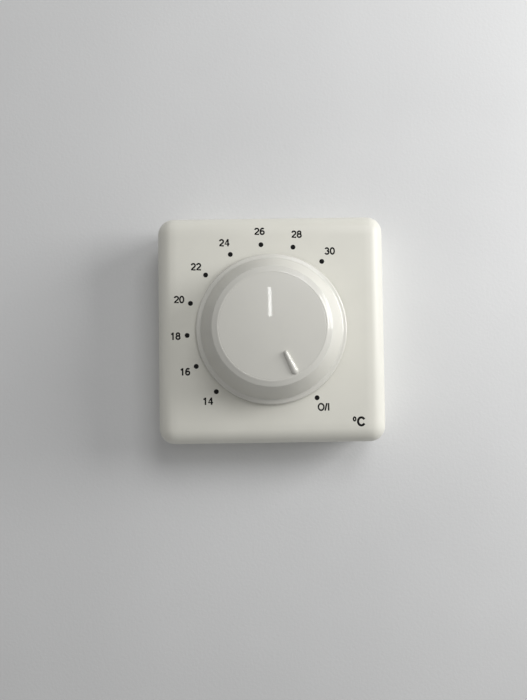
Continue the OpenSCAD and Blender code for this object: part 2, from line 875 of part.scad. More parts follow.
module relay_coil() {
  at = [core_x, relay_y];
  color("chocolate") place() {
    difference() {
      rod(at, coil_r, bobbin_z + bobbin_t, pole_z - bobbin_t);
      rod(at, core_r + 0.7 + touch, bobbin_z, pole_z);
    }
  }
}

module relay_core() {
  at = [core_x, relay_y];
  color("gray") place() {
    rod(at, core_r, bobbin_z, pole_z);
    rod(at, pole_r, pole_z, pole_z + pole_t);
  }
}

module relay_yoke() {
  left = core_x - 4;
  right = yoke_leg_x + yoke_t;
  low = bobbin_z - yoke_t;
  color("darkgray") place() {
    translate([left, relay_y - yoke_w / 2, low]) cube([right - left, yoke_w, yoke_t]);
    translate([yoke_leg_x, relay_y - yoke_w / 2, low]) cube([yoke_t, yoke_w, armature_z - 0.1 - low]);
    rod([armature_pivot_x, relay_y], 1, low - air, low);
  }
}

module relay_armature() {
  right = yoke_leg_x + yoke_t + 0.2;
  color("darkgray") place() {
    translate([armature_end_x, relay_y - armature_w / 2, armature_z]) {
      cube([right - armature_end_x, armature_w, armature_t]);
    }
  }
}

module relay_return_spring() {
  spring_w = 3;
  leaf_t = 0.2;
  outer = yoke_leg_x + yoke_t + 0.25;
  top = armature_z + armature_t;
  color("goldenrod") place() {
    translate([core_x + 2.5, relay_y - spring_w / 2, top]) cube([outer + leaf_t - core_x - 2.5, spring_w, leaf_t]);
    translate([outer, relay_y - spring_w / 2, top - 3.6]) cube([leaf_t, spring_w, 3.6]);
  }
}

module relay_moving_contact() {
  top = armature_z + armature_t;
  leaf_w = 2.4;
  left = relay_contact_x - relay_rivet_r + 0.2;
  color("goldenrod") place() {
    translate([left, relay_y - leaf_w / 2, top]) cube([core_x + 2 - left, leaf_w, relay_strip_t]);
    rod([relay_contact_x, relay_y], relay_rivet_r, relay_rivet_z, relay_rivet_top);
  }
}

module relay_fixed_contacts() {
  leaf_w = 2.4;
  low = board_top + relay_base_t;
  rest_z = relay_rivet_top + touch;
  work_z = relay_rivet_z - relay_throw - relay_gap_closed;
  arm = relay_contact_x + relay_rivet_r - relay_strip_x;
  color("goldenrod") place() {
    translate([relay_strip_x, relay_y - leaf_w / 2, low]) cube([0.8, leaf_w, work_z - 0.6 - low]);
    translate([relay_strip_x, relay_y - leaf_w / 2, work_z - 0.9]) cube([arm, leaf_w, relay_strip_t]);
    rod([relay_contact_x, relay_y], relay_rivet_r, work_z - 0.7, work_z);
    translate([relay_strip_x, relay_y + 2.2, low]) cube([0.8, 2, rest_z + strip_seat + relay_strip_t - low]);
    translate([relay_strip_x, relay_y - leaf_w / 2, rest_z + strip_seat]) cube([arm, leaf_w + 3, relay_strip_t]);
    rod([relay_contact_x, relay_y], relay_rivet_r, rest_z, rest_z + 2 * strip_seat);
  }
}

module relay_pins() {
  color("silver") place() leads(relay_pins_xy, lead_r, board_top + relay_base_t);
}

// ---- Terminals ----

module terminal_housing() {
  color("seagreen") place() {
    difference() {
      translate([-block_l / 2, block_y, board_top]) cube([block_l, block_d, block_h]);
      for (x = poles_x) {
        translate([x - cage_w / 2 - 0.1, block_y - cut, cage_z]) {
          cube([cage_w + 0.2, cage_d + 1.1 + cut, cage_h + 0.1]);
        }
        rod([x, terminal_screw_y], terminal_head_r + 0.2, cage_z, board_top + block_h + cut);
        rod([x, terminal_screw_y], lead_r + lead_gap, board_top - cut, cage_z + cut);
      }
    }
  }
}

module terminal_cages() {
  color("silver") place() {
    for (x = poles_x) {
      difference() {
        translate([x - cage_w / 2, cage_y, cage_z]) cube([cage_w, cage_d, cage_h]);
        translate([x - cage_w / 2 + cage_wall, cage_y - cut, cage_z + cage_wall]) {
          cube([cage_w - 2 * cage_wall, cage_d + 2 * cut, cage_h - cage_wall - 1.3]);
        }
        rod([x, terminal_screw_y], terminal_screw_r + touch, cage_z + cage_wall + cut, cage_z + cage_h + cut);
      }
    }
  }
}

module terminal_screws() {
  head_z = cage_z + cage_h + 0.8;
  head_h = 1.6;
  color("lightsteelblue") place() {
    for (x = poles_x) {
      difference() {
        union() {
          rod([x, terminal_screw_y], terminal_screw_r, cage_z + 2.4, head_z);
          rod([x, terminal_screw_y], terminal_head_r, head_z, head_z + head_h);
        }
        block([x, terminal_screw_y], [3 * terminal_head_r, 0.6], head_z + head_h - 0.7, head_z + head_h + cut);
      }
    }
  }
}

module terminal_pins() {
  color("silver") place() leads(terminal_pins_xy, lead_r, cage_z);
}

// ---- Parts on the board ----

module film_capacitor() {
  color("gold") place() {
    block(film_at, film_size, board_top, board_top + film_size.z);
    leads(film_pins_xy, lead_r, board_top);
  }
}

module electrolytic_capacitor() {
  at = electrolytic_at;
  groove_z = board_top + 1.6;
  color("darkslateblue") place() {
    difference() {
      rod(at, electrolytic_r, board_top, board_top + electrolytic_h);
      difference() {
        rod(at, electrolytic_r + cut, groove_z, groove_z + 0.6);
        rod(at, electrolytic_r - 0.25, groove_z - cut, groove_z + 0.6 + cut);
      }
      screw_cross(at, electrolytic_r * 0.8, board_top + electrolytic_h + 1);
    }
    leads(electrolytic_pins_xy, lead_r, board_top);
  }
}

module varistor() {
  height = board_top + varistor_r + 1;
  color("royalblue") place() {
    translate([varistor_at.x, varistor_at.y, height]) {
      rotate([90, 0, 0]) cylinder(r = varistor_r, h = varistor_t, center = true);
    }
    leads(varistor_pins_xy, lead_r, height - 1);
  }
}

module fuse() {
  color("black") place() {
    rod(fuse_at, fuse_r, board_top, board_top + fuse_h);
    leads(fuse_pins_xy, lead_r, board_top);
  }
}

module diodes() {
  color("black") place() {
    for (p = diodes_at) axial_part(p, 0, diode_r, diode_l);
  }
}

module resistors() {
  color("tan") place() {
    for (p = resistors_at) axial_part(p, 90, resistor_r, resistor_l);
  }
}

module control_ic() {
  low = board_top + 0.5;
  color("black") place() {
    difference() {
      block(ic_at, ic_size, low, low + ic_size.z);
      rod(ic_at - [ic_size.x / 2, 0], 0.9, low + ic_size.z - 0.4, low + ic_size.z + cut);
    }
    for (p = ic_pins_xy) {
      rod(p, lead_r, lead_z, low + 2);
      block([p.x, (p.y + ic_at.y) / 2], [2 * lead_r, ic_row / 2], low + 1.6, low + 2);
    }
  }
}

module transistor() {
  low = board_top + 1.2;
  color("black") place() {
    difference() {
      rod(transistor_at, transistor_r, low, low + transistor_h);
      block(transistor_at - [0, 2 * transistor_r - 0.8], [3 * transistor_r, 2 * transistor_r], low - cut, low + transistor_h + cut);
    }
    leads(transistor_pins_xy, lead_r, low + 1);
  }
}

module temperature_sensor() {
  height = board_top + sensor_stand;
  color("darkorange") place() {
    translate([sensor_at.x, sensor_at.y, height]) sphere(sensor_r);
    leads(sensor_pins_xy, 0.25, height);
  }
}

front_cover();
rear_base();
cover_screw();
knob();
knob_spring_clip();
knob_shaft();
switch_cam();
circuit_board();
board_screws();
pot_housing();
pot_track_plate();
pot_track();
pot_rotor();
pot_wiper();
pot_terminals();
switch_case();
switch_lid();
switch_lever();
switch_plunger();
switch_blade();
switch_contacts();
switch_terminals();
relay_base();
relay_case();
relay_bobbin();
relay_coil();
relay_core();
relay_yoke();
relay_armature();
relay_return_spring();
relay_moving_contact();
relay_fixed_contacts();
relay_pins();
terminal_housing();
terminal_cages();
terminal_screws();
terminal_pins();
film_capacitor();
electrolytic_capacitor();
varistor();
fuse();
diodes();
resistors();
control_ic();
transistor();
temperature_sensor();
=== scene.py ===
"""Wall thermostat with a round setting knob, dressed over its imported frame.

Pieces are shaped in millimetres, with x to the right, y up and z out of the wall,
and stood up against the wall plane when they are finished.
"""
import json
import math

import bmesh
import bpy
from mathutils import Matrix, Vector


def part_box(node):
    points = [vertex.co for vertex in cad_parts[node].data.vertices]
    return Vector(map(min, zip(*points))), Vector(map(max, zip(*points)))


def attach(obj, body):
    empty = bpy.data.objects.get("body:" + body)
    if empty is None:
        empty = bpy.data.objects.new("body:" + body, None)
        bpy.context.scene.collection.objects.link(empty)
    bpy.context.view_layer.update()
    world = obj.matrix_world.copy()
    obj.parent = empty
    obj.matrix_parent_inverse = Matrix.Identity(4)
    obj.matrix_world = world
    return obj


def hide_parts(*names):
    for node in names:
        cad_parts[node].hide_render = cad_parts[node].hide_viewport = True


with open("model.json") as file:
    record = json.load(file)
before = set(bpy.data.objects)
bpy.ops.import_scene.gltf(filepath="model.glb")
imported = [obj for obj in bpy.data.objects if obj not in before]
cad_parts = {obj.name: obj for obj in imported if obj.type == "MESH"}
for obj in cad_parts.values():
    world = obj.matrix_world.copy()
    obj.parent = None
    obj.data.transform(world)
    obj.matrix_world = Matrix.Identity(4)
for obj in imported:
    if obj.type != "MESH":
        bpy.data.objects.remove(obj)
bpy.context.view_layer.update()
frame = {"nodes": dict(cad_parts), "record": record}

STAND_UP = Matrix.Rotation(math.radians(90), 4, "X") @ Matrix.Scale(0.001, 4)
RIGHT = Vector((1, 0, 0))
LEFT = Vector((-1, 0, 0))
UP = Vector((0, 1, 0))
DOWN = Vector((0, -1, 0))
OUT = Vector((0, 0, 1))
BACK = Vector((0, 0, -1))
CENTRE = Vector((0, 0, 0))
WELD = 0.0005


def depths(node):
    """Near and far level of a node over the wall, in millimetres."""
    low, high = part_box(node)
    return -high.y * 1000, -low.y * 1000


def middle(node):
    """Centre of a node seen from the front, in millimetres."""
    low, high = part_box(node)
    return Vector(((low.x + high.x) * 500, (low.z + high.z) * 500, 0))


# Main sizes in millimetres, as are all sizes below, taken from the frame
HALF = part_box("front_cover")[1].x * 1000
BASE_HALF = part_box("rear_base")[1].x * 1000
SKIRT, COLLAR_TOP = depths("front_cover")
KNOB_BACK, POINTER_TOP = depths("knob")
FLANGE_INSET = 0.4
FLANGE_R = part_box("knob")[1].x * 1000 - FLANGE_INSET
SCREW_AT = middle("cover_screw")
SCREW_TOP = depths("cover_screw")[1]
KNOB_GAP = 0.6
FACE = KNOB_BACK - KNOB_GAP
POINTER_H = 0.9
KNOB_TOP = POINTER_TOP - POINTER_H

# Cover: walls, rounding and the face's fall towards its four sides
COVER_T = 2.0
CORNER_R = 5.8
EDGE_R = 5.5
ROUND_STEPS = 14
HEM_W = 0.15
CUT_EDGE = 0.15
FALL_FROM = 34.7
FALL_RATE = 0.024
FALL_STEPS = 5
HOLE_CUTS = 11
SHAFT_HOLE_R = 4.4
SHAFT_PATCH = 8.0
SCREW_PATCH = 4.6

# Vent slots and the pockets of the snap nibs
VENT_W = 1.6
VENT_PITCH = 5.0
VENT_COUNT = 9
VENT_LOW = 8.5
VENT_HIGH = 16.5
POCKET_LOW = 4.6
POCKET_HIGH = 6.6
POCKET_HALF = 5.4
POCKET_DEPTH = 0.9
POCKET_HEM = 0.1
WIDE_AREA = 2

# Shaft collar and screw boss
COLLAR_BORE = 4.05
COLLAR_R = 7.5
COLLAR_ROOT = FACE - 1.6
COLLAR_BREAK = 0.3
BOSS_R = 4.2
BOSS_BORE = 1.6
BOSS_BACK = 13.0
BOSS_ROOT = FACE - 1.7
SEAT_R = 3.1
SEAT_DROP = 1.8

# Knob: domed top, groove, rim, shoulder, flank and flange
KNOB_STEPS = 144
CROWN = 1.2
GROOVE_R = 18.45
GROOVE_HALF = 0.1
GROOVE_DEPTH = 0.065
RIM_R = 18.92
RIM_ROUND = 1.6
STEP_R = 19.5
STEP_DROP = 0.29
SHOULDER_R = 20.85
SHOULDER_DROP = 0.84
SHOULDER_ROUND = 0.5
FOOT_R = 25.95
FOOT_H = 2.0
FLARE_STEPS = 6
LIP_TOP = 1.25
LIP_ROUND = 0.8
LIP_BREAK = 0.15

# Knob's hollow, hub, webs and pointer
ROOF_T = 1.8
MOUTH_R = 24.9
HOLLOW_R = 19.3
HUB_R = 6.5
HUB_GAP = 0.5
BORE_R = 3.05
BORE_BREAK = 0.2
WEB_COUNT = 4
WEB_SIZE = (13.4, 1.2, 5.1)
WEB_MID = 12.8
WEB_DROP = 4.1
POINTER_ANGLE = math.radians(-64.3)
POINTER_NEAR = 9.5
POINTER_NEAR_W = 1.7
POINTER_FAR = 18.4
POINTER_FAR_W = 2.8
POINTER_SUNK = 0.3


# ---- Shader maths ----


class Value:
    """A shader socket that takes Python arithmetic."""

    def __init__(self, finish, socket):
        self.finish = finish
        self.socket = socket

    def maths(self, operation, first, second):
        """One Math node of two values, of which either may be a plain number."""
        return self.finish.add("ShaderNodeMath", {"operation": operation}, {0: first, 1: second})

    def __add__(self, other):
        return self.maths("ADD", self, other)

    __radd__ = __add__

    def __sub__(self, other):
        return self.maths("SUBTRACT", self, other)

    def __rsub__(self, other):
        return self.maths("SUBTRACT", other, self)

    def __mul__(self, other):
        return self.maths("MULTIPLY", self, other)

    __rmul__ = __mul__

    def __gt__(self, other):
        return self.maths("GREATER_THAN", self, other)

    def __lt__(self, other):
        return self.maths("LESS_THAN", self, other)


class Finish:
    """The nodes of a material or world being made; add() makes every one."""

    def __init__(self, owner):
        owner.use_nodes = True
        self.owner = owner
        self.tree = owner.node_tree
        self.tree.nodes.clear()

    def add(self, kind, settings=None, sockets=None, out=0):
        """Makes a node with its settings first, then its socket values and links."""
        node = self.tree.nodes.new(kind)
        for key, value in (settings or {}).items():
            setattr(node, key, value)
        for key, value in (sockets or {}).items():
            if isinstance(value, Value):
                self.tree.links.new(value.socket, node.inputs[key])
            else:
                node.inputs[key].default_value = value
        return Value(self, node.outputs[out]) if node.outputs else None

    def several(self, kind, sockets, names):
        """Some outputs of a single node."""
        outputs = self.add(kind, {}, sockets, names[0]).socket.node.outputs
        return [Value(self, outputs[name]) for name in names]

    def place(self):
        """Object coordinates, in metres."""
        return self.add("ShaderNodeTexCoord", out="Object")

    def axes(self):
        """Object coordinates apart, in millimetres: right, up and out of the wall."""
        right, inward, up = self.several("ShaderNodeSeparateXYZ", {"Vector": self.place()}, ("X", "Y", "Z"))
        return right * 1000, up * 1000, inward * -1000

    def noise(self, size_mm, detail=2.0):
        """Even noise whose patches are about that size."""
        sockets = {"Vector": self.place(), "Scale": 1000 / size_mm, "Detail": detail}
        return self.add("ShaderNodeTexNoise", {}, sockets, "Fac")

    def ramp(self, fac, low, high, first=0.0, last=1.0):
        """Takes a value from one range to another."""
        limits = {"Value": fac, "From Min": low, "From Max": high, "To Min": first, "To Max": last}
        return self.add("ShaderNodeMapRange", {}, limits)

    def spread(self, fac, first, last):
        """Takes noise, which keeps near its middle, to a whole range."""
        return self.ramp(fac, 0.3, 0.7, first, last)

    def blend(self, fac, first, second):
        """Mix of two colours."""
        return self.add("ShaderNodeMix", {"data_type": "RGBA"}, {0: fac, 6: first, 7: second}, 2)

    def bump(self, height, depth_mm):
        """Relief whose height of one is that deep."""
        return self.add("ShaderNodeBump", {}, {"Height": height, "Distance": depth_mm / 1000})

    def surface(self, sockets):
        """Ends a material in one principled shader."""
        shader = self.add("ShaderNodeBsdfPrincipled", {}, sockets)
        self.add("ShaderNodeOutputMaterial", {}, {"Surface": shader})
        return self.owner


def new_finish(name):
    """Empty finish on a new material."""
    return Finish(bpy.data.materials.new(name))


def shade(red, green, blue):
    """Linear colour from the 0 to 255 values of a paint chart."""

    def linear(level):
        level = level / 255
        return level / 12.92 if level < 0.04045 else ((level + 0.055) / 1.055) ** 2.4

    return (linear(red), linear(green), linear(blue), 1.0)


def toned(colour, factor):
    """The colour made lighter or darker."""
    return tuple(min(1.0, part * factor) for part in colour[:3]) + (1.0,)


# ---- Finishes ----


def moulded(name, colour, roughness, grain_mm=0.25, depth_mm=0.004, variation=0.04, coat=0.0, gloss=0.5):
    """Injection moulded plastic: slight flow mottling and a spark-eroded grain."""
    finish = new_finish(name)
    flow = finish.noise(9.0, 3.0)
    grain = finish.noise(grain_mm, 2.0)
    tone = finish.spread(flow, 0.0, 1.0)
    sockets = {
        "Base Color": finish.blend(tone, toned(colour, 1 - variation), toned(colour, 1 + variation)),
        "Roughness": finish.spread(flow, roughness * 0.92, roughness * 1.08),
        "Normal": finish.bump(grain, depth_mm),
        "Coat Weight": coat,
        "Coat Roughness": 0.08,
        "Specular IOR Level": gloss,
    }
    return finish.surface(sockets)


def plated(name, colour, roughness, scratch_mm=0.3, depth_mm=0.003):
    """Plated or rolled metal: fine drawn lines and slight stains."""
    finish = new_finish(name)
    squeeze = {"Vector": finish.place(), "Scale": (1.0, 0.08, 1.0)}
    drawn = finish.add("ShaderNodeMapping", {}, squeeze)
    scratches = {"Vector": drawn, "Scale": 1000 / scratch_mm, "Detail": 2.0}
    lines = finish.add("ShaderNodeTexNoise", {}, scratches, "Fac")
    stain = finish.spread(finish.noise(2.5, 3.0), 0.0, 1.0)
    sockets = {
        "Base Color": finish.blend(stain, toned(colour, 0.86), toned(colour, 1.04)),
        "Metallic": 1.0,
        "Roughness": finish.spread(lines, roughness * 0.75, roughness * 1.25),
        "Normal": finish.bump(lines, depth_mm),
    }
    return finish.surface(sockets)


def laminate(name, mask, copper):
    """Printed board: green mask over copper tracks, with a darker weave in the mask."""
    finish = new_finish(name)
    weave = finish.noise(0.5, 2.0)
    track = finish.noise(6.0, 0.0)
    on_track = (track > 0.47) * (track < 0.53)
    tone = finish.blend(on_track, mask, copper)
    sockets = {
        "Base Color": finish.blend(finish.spread(weave, 0.0, 0.25), tone, toned(mask, 0.6)),
        "Roughness": finish.spread(weave, 0.28, 0.4),
        "Normal": finish.bump(on_track * 0.5 + weave * 0.1, 0.03),
    }
    return finish.surface(sockets)


def wound(name, colour, wire_mm):
    """Enamelled wire in close turns round a vertical bobbin, with painted shade between the turns."""
    finish = new_finish(name)
    out = finish.axes()[2]
    turn = finish.add("ShaderNodeMath", {"operation": "PINGPONG"}, {0: out, 1: wire_mm / 2})
    # Painted shade and highlight: the colour darkens in the crease between turns and lightens on each turn's
    # crest
    tone = turn * (2 / wire_mm)
    sockets = {
        "Base Color": finish.blend(tone, toned(colour, 0.45), toned(colour, 1.1)),
        "Roughness": 0.3,
        "Metallic": 0.7,
        "Normal": finish.bump(tone, wire_mm * 0.5),
    }
    return finish.surface(sockets)


def banded(name, body, rings, centre_mm, pitch_mm):
    """Lacquered ceramic body with painted rings along its length."""
    finish = new_finish(name)
    along = finish.axes()[1] - centre_mm
    tone = body
    for number, ring in enumerate(rings):
        start = (number - 1.5) * pitch_mm
        inside = (along > start) * (along < start + pitch_mm * 0.5)
        tone = finish.blend(inside, tone, ring)
    dull = finish.noise(0.6, 2.0)
    sockets = {
        "Base Color": tone,
        "Roughness": finish.spread(dull, 0.3, 0.45),
        "Normal": finish.bump(dull, 0.01),
    }
    return finish.surface(sockets)


def knob_moulding(name, colour):
    """Glossy moulding with a satin flank and a faint sink mark over the hub."""
    finish = new_finish(name)
    right, up, out = finish.axes()
    flow = finish.noise(9.0, 3.0)
    peel = finish.noise(2.2, 1.0)
    flank = (out > FACE + 2.5) * (out < KNOB_TOP - 2.0)
    mark = finish.ramp(right * right + up * up, 6.0, 12.0)
    sockets = {
        "Base Color": finish.blend(finish.spread(flow, 0.0, 1.0), toned(colour, 0.988), toned(colour, 1.012)),
        "Roughness": finish.spread(flow, 0.3, 0.34) + flank * 0.14,
        "Coat Weight": 0.6 - flank * 0.5,
        "Coat Roughness": 0.03,
        "Normal": finish.bump(peel * 0.3 + mark, 0.006),
    }
    return finish.surface(sockets)


COVER_WHITE = shade(230, 229, 220)
KNOB_WHITE = shade(218, 217, 210)

# After name and colour, a moulding has its roughness, its grain and the grain's depth in
# millimetres, how far its tone varies, its coat and its gloss
FINISHES = {
    "cover_plastic": moulded("cover plastic", COVER_WHITE, 0.42, 0.3, 0.004, 0.012),
    "base_plastic": moulded("base plastic", shade(222, 222, 212), 0.5, 0.4, 0.006, 0.02),
    "knob_plastic": knob_moulding("knob plastic", KNOB_WHITE),
    "cam_plastic": moulded("cam plastic", shade(222, 168, 74), 0.4, 0.3, 0.006),
    "white_nylon": moulded("natural nylon", shade(226, 225, 214), 0.38, 0.5, 0.006),
    "dark_plastic": moulded("dark plastic", shade(44, 44, 47), 0.45, 0.25, 0.008, 0.12),
    "red_plastic": moulded("switch case red", shade(140, 44, 36), 0.42, 0.3, 0.008, 0.06),
    "green_plastic": moulded("terminal green", shade(62, 142, 84), 0.4, 0.35, 0.008, 0.06),
    "relay_blue": moulded("relay case blue", shade(66, 116, 170), 0.25, 0.8, 0.004, 0.05, 0.3),
    "yellow_plastic": moulded("film case yellow", shade(222, 176, 56), 0.3, 0.8, 0.006, 0.05, 0.2),
    "sleeve_blue": moulded("shrunk sleeve", shade(40, 48, 96), 0.28, 1.2, 0.01, 0.06, 0.3),
    "epoxy_blue": moulded("blue epoxy dip", shade(48, 96, 168), 0.22, 1.6, 0.03, 0.06, 0.4),
    "epoxy_orange": moulded("orange epoxy dip", shade(212, 132, 52), 0.22, 1.2, 0.03, 0.06, 0.4),
    "dark_epoxy": moulded("moulded epoxy", shade(38, 38, 41), 0.5, 0.15, 0.01, 0.12),
    "resistor_tan": banded(
        "banded resistor",
        shade(206, 180, 138),
        [shade(110, 60, 30), shade(28, 28, 28), shade(190, 60, 40), shade(196, 160, 60)],
        middle("resistors").y,
        1.3,
    ),
    "board_laminate": laminate("board laminate", shade(30, 96, 56), shade(66, 132, 74)),
    "phenolic": moulded("phenolic sheet", shade(142, 100, 64), 0.45, 0.2, 0.01, 0.12),
    "carbon_ink": moulded("print ink", shade(12, 12, 13), 0.6, 0.3, 0.004, 0.1, 0.0, 0.12),
    "zinc_steel": plated("zinc plated steel", shade(200, 202, 206), 0.32),
    "spring_steel": plated("bright spring steel", shade(188, 190, 194), 0.24),
    "soft_iron": plated("nickel plated iron", shade(180, 180, 182), 0.35),
    "tinned_wire": plated("tinned wire", shade(204, 204, 202), 0.3),
    "contact_brass": plated("contact brass", shade(206, 176, 104), 0.28),
    "copper_wire": wound("enamelled winding", shade(184, 104, 58), 0.25),
}


# ---- Shaping ----


def round_edges(bm, edges, radius):
    """Rounds edges of the cover to a radius."""
    bmesh.ops.bevel(
        bm,
        geom=edges,
        offset=radius,
        segments=ROUND_STEPS,
        profile=0.5,
        affect="EDGES",
        material=-1,
        clamp_overlap=False,
    )


def stood_up(name, bm, material):
    """Stands a finished bmesh up against the wall plane and makes an object of it."""
    bmesh.ops.transform(bm, matrix=STAND_UP, verts=bm.verts)
    mesh = bpy.data.meshes.new(name)
    bm.to_mesh(mesh)
    bm.free()
    mesh.materials.append(material)
    made = bpy.data.objects.new(name, mesh)
    bpy.context.scene.collection.objects.link(made)
    return made


def make_piece(name, bm, body, slot, replaced=(), crease=32):
    """Makes a piece of a finished bmesh, gives it its finish and puts it on its body."""
    bmesh.ops.remove_doubles(bm, verts=bm.verts, dist=WELD)
    bmesh.ops.recalc_face_normals(bm, faces=bm.faces)
    for face in bm.faces:
        face.smooth = True
    for edge in bm.edges:
        if edge.is_manifold and edge.calc_face_angle(0) > math.radians(crease):
            edge.smooth = False
    piece = stood_up(name, bm, FINISHES[slot])
    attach(piece, body)
    if replaced:
        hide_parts(*replaced)
    return piece


def turned(bm, profile, steps, at=CENTRE):
    """Spins a profile of (radius, level) points about the axis at a place."""
    verts = [bm.verts.new(at + Vector((radius, 0, level))) for radius, level in profile]
    edges = [bm.edges.new(pair) for pair in zip(verts, verts[1:])]
    bmesh.ops.spin(
        bm, geom=verts + edges, cent=at, axis=(0, 0, 1), angle=2 * math.pi, steps=steps, use_merge=True
    )
    bmesh.ops.remove_doubles(bm, verts=bm.verts, dist=WELD)


def only_verts(geom):
    """The vertices among what an operator made."""
    return [item for item in geom if isinstance(item, bmesh.types.BMVert)]


def cut_across(bm, faces, point, normal):
    """Cuts faces along the plane through a point."""
    geom = set(faces)
    for face in faces:
        geom.update(face.edges)
        geom.update(face.verts)
    bmesh.ops.bisect_plane(bm, geom=list(geom), dist=0.00001, plane_co=point, plane_no=normal)


def facing(bm, direction, level):
    """Flat faces that look along a direction, at that distance from the axes."""
    found = []
    for face in bm.faces:
        face.normal_update()
        off = abs(face.calc_center_median().dot(direction) - level)
        if face.normal.dot(direction) > 0.9999 and off < 0.001:
            found.append(face)
    return found


def face_fall(place):
    """How far the front face has fallen away at a place, near its four sides."""
    fall = 0.0
    for reach in (abs(place.x), abs(place.y)):
        inside = max(0.0, min(reach, HALF - EDGE_R) - FALL_FROM)
        beyond = max(0.0, reach - HALF + EDGE_R)
        fall += FALL_RATE * inside * (inside + 2 * beyond)
    return fall


def settle(verts, above):
    """Lowers what lies on the front face, or round its edge, as the face falls away."""
    for vert in verts:
        if vert.co.z > above:
            vert.co.z -= face_fall(vert.co)


def round_hole(bm, spot, reach, radius):
    """Opens a round hole in the front face, inside a square patch of that reach."""
    at = spot + OUT * FACE
    for axis in (RIGHT, UP):
        for side in (-reach, reach):
            patches = [f for f in facing(bm, OUT, FACE) if f.calc_area() > 0.3]
            cut_across(bm, patches, at + axis * side, axis)
    patch = min(facing(bm, OUT, FACE), key=lambda face: (face.calc_center_median() - at).length)
    border = list(patch.edges)
    bmesh.ops.delete(bm, geom=[patch], context="FACES_ONLY")
    split = set(bmesh.ops.subdivide_edges(bm, edges=border, cuts=HOLE_CUTS)["geom"])
    border = [e for e in bm.edges if e.is_boundary and e in split]
    turn = Matrix.Translation(at) @ Matrix.Rotation(math.radians(45), 4, "Z")
    count = 4 * (HOLE_CUTS + 1)
    ring = bmesh.ops.create_circle(bm, cap_ends=False, radius=radius, segments=count, matrix=turn)
    circle = {e for v in ring["verts"] for e in v.link_edges}
    bmesh.ops.bridge_loops(bm, edges=border + list(circle))


def front_cover():
    """Square shell with rounded edges, vent slots and holes for shaft and screw."""
    bm = bmesh.new()
    bmesh.ops.create_cube(bm, size=1)
    bmesh.ops.scale(bm, vec=(2 * HALF, 2 * HALF, FACE - SKIRT), verts=bm.verts)
    bmesh.ops.translate(bm, vec=(0, 0, (FACE + SKIRT) / 2), verts=bm.verts)
    upright = [e for e in bm.edges if abs(e.verts[0].co.z - e.verts[1].co.z) > 1]
    round_edges(bm, upright, CORNER_R)
    bmesh.ops.delete(bm, geom=facing(bm, BACK, -SKIRT), context="FACES_ONLY")
    front = facing(bm, OUT, FACE)[0]
    round_edges(bm, list(front.edges), EDGE_R)
    for direction in (OUT, UP, DOWN, RIGHT, LEFT):
        flats = facing(bm, direction, FACE if direction == OUT else HALF)
        bmesh.ops.inset_region(bm, faces=flats, thickness=HEM_W, use_even_offset=True)
    for direction in (UP, DOWN):
        cut_vents(bm, direction)
    for direction in (UP, DOWN, RIGHT, LEFT):
        mark_pocket(bm, direction)
    round_hole(bm, CENTRE, SHAFT_PATCH, SHAFT_HOLE_R)
    round_hole(bm, SCREW_AT, SCREW_PATCH, SEAT_R)
    edge_foot = FACE - EDGE_R - 0.2
    for step in range(FALL_STEPS):
        reach = FALL_FROM + (HALF - EDGE_R - FALL_FROM) * step / FALL_STEPS
        for away in (RIGHT, LEFT, UP, DOWN):
            upper = [f for f in bm.faces if f.calc_center_median().z > edge_foot]
            cut_across(bm, upper, away * reach, away)
    settle(bm.verts, edge_foot)
    piece = make_piece("cover_shell", bm, "case", "cover_plastic", ["front_cover"])
    shell = piece.modifiers.new("Wall", "SOLIDIFY")
    shell.thickness = COVER_T / 1000
    shell.offset = -1
    shell.use_even_offset = True
    shell.vertex_group = piece.vertex_groups.new(name="snap pockets").name
    shell.invert_vertex_group = True
    edges = piece.modifiers.new("Edges", "BEVEL")
    edges.width = CUT_EDGE / 1000
    edges.segments = 2
    edges.limit_method = "ANGLE"
    edges.angle_limit = math.radians(50)
    return piece


def wide_faces(bm, direction):
    """Flat faces of one side of the cover, without the slivers between earlier cuts."""
    return [f for f in facing(bm, direction, HALF) if f.calc_area() > WIDE_AREA]


def cut_vents(bm, direction):
    """Row of upright slots in the top or bottom side."""
    half_run = (VENT_COUNT - 1) / 2 * VENT_PITCH
    cuts = [(OUT * level, OUT) for level in (VENT_LOW, VENT_HIGH)]
    for number in range(VENT_COUNT):
        for side in (-1, 1):
            place = number * VENT_PITCH - half_run + side * VENT_W / 2
            cuts.append((RIGHT * place, RIGHT))
    for point, normal in cuts:
        cut_across(bm, wide_faces(bm, direction), point, normal)
    slots = []
    for face in facing(bm, direction, HALF):
        centre = face.calc_center_median()
        number = round((centre.x + half_run) / VENT_PITCH)
        off = abs(centre.x + half_run - number * VENT_PITCH)
        if 0 <= number < VENT_COUNT and off < VENT_W / 2 and VENT_LOW < centre.z < VENT_HIGH:
            slots.append(face)
    bmesh.ops.delete(bm, geom=slots, context="FACES")


def mark_pocket(bm, direction):
    """Marks where a wall is thinner inside, for one of the base's snap nibs."""
    across = Vector((-direction.y, direction.x, 0))

    def strip():
        side = facing(bm, direction, HALF)
        return [f for f in side if POCKET_LOW < f.calc_center_median().z < POCKET_HIGH]

    for level in (POCKET_LOW, POCKET_HIGH):
        cut_across(bm, wide_faces(bm, direction), OUT * level, OUT)
    for side in (-POCKET_HALF, POCKET_HALF):
        cut_across(bm, strip(), across * side, across)
    recess = [f for f in strip() if abs(f.calc_center_median().dot(across)) < POCKET_HALF]
    bmesh.ops.inset_region(bm, faces=recess, thickness=POCKET_HEM, use_even_offset=True)
    depth = bm.verts.layers.deform.verify()
    for vert in {v for f in recess for v in f.verts}:
        vert[depth][0] = POCKET_DEPTH / COVER_T


